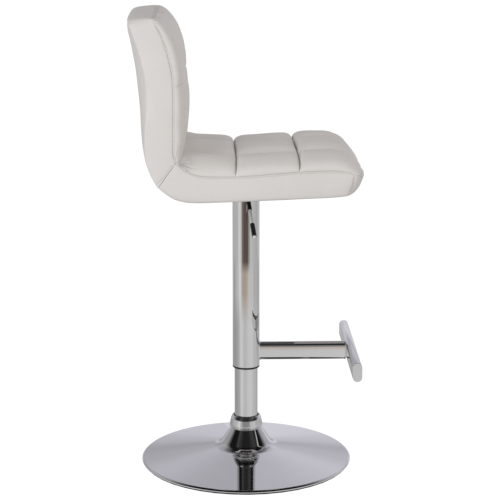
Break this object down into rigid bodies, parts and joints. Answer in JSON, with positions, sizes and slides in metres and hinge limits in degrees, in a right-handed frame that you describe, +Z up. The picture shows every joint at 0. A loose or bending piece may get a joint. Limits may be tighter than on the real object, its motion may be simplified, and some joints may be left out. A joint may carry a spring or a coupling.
{
  "type": "adjustable swivel stool",
  "caption": "High stool with a padded quilted seat and back on a chromed gas-lift column, with a T-shaped footrest, a height lever and a round trumpet base.",
  "frame": {"origin": "on the column axis, on the floor, at the centre of the floor pad", "axes": "+Z up along the column; -Y is the way the sitter faces; +X is to the sitter's left"},
  "size_m": [0.455, 0.4932, 0.9887],
  "materials": {
    "chrome": "polished",
    "steel": "satin",
    "black_steel": "satin",
    "iron": "matte",
    "black_plastic": "satin",
    "rubber": "matte",
    "grey_plastic": "satin",
    "leather": "satin",
    "plywood": "matte",
    "dust_cloth": "matte",
    "brass": "satin"
  },
  "bodies": {
    "base": {"base_dome": "chrome", "floor_pad": "black_plastic", "ballast_plate": "iron", "socket_flange": "steel", "base_socket": "steel", "neck_collar": "chrome", "stand_tube": "chrome", "tube_end_plate": "steel", "guide_bush": "black_plastic", "lower_race": "steel"},
    "rod": {"ball_cage": "steel", "upper_race": "steel", "rubber_bumper": "rubber", "retaining_clip": "steel", "piston_rod": "chrome", "piston": "steel", "piston_seal": "rubber", "piston_nut": "steel"},
    "carriage": {"column_sleeve": "chrome", "footrest_stem": "chrome", "footrest_bar": "chrome", "valve_body": "steel", "lever_pivot_pin": "steel", "seat_bolt_1": "steel", "seat_bolt_2": "steel", "seat_bolt_3": "steel", "seat_bolt_4": "steel", "seat_washer_1": "steel", "seat_washer_2": "steel", "seat_washer_3": "steel", "seat_washer_4": "steel", "seat_tnut_1": "steel", "seat_tnut_2": "steel", "seat_tnut_3": "steel", "seat_tnut_4": "steel", "gas_cylinder": "black_steel", "mechanism_pan": "black_steel", "taper_socket": "black_steel", "seat_plate": "black_steel", "sleeve_bush": "black_plastic", "sleeve_spacer": "black_plastic", "rod_seal": "rubber", "bar_cap_right": "grey_plastic", "bar_cap_left": "grey_plastic", "seat_cushion": "leather", "back_cushion": "leather", "seat_shell": "plywood", "dust_cover": "dust_cloth"},
    "lever": {"lever_rod": "chrome", "lever_grip": "black_plastic", "lever_sleeve": "black_plastic", "lever_lug": "steel"},
    "valve": {"valve_pin": "brass"}
  },
  "joints": [
    {"name": "seat_swivel", "type": "hinge", "parent": "base", "child": "rod", "pos_m": [0, 0, 0], "axis": [0, 0, 1], "continuous": true},
    {"name": "height_slide", "type": "slide", "parent": "rod", "child": "carriage", "axis": [0, 0, 1], "range_m": [-0.095, 0.12]},
    {"name": "lever_tilt", "type": "hinge", "parent": "carriage", "child": "lever", "pos_m": [-0.025, 0, 0.6085], "axis": [0, 1, 0], "range_deg": [0, 8], "stiffness_Nm_per_rad": 0.8},
    {"name": "valve_press", "type": "slide", "parent": "carriage", "child": "valve", "axis": [0, 0, -1], "range_m": [0, 0.0045]}
  ],
  "couplings": [
    {"joint": "valve_press", "follows": "lever_tilt", "m_per_rad": 0.029}
  ]
}
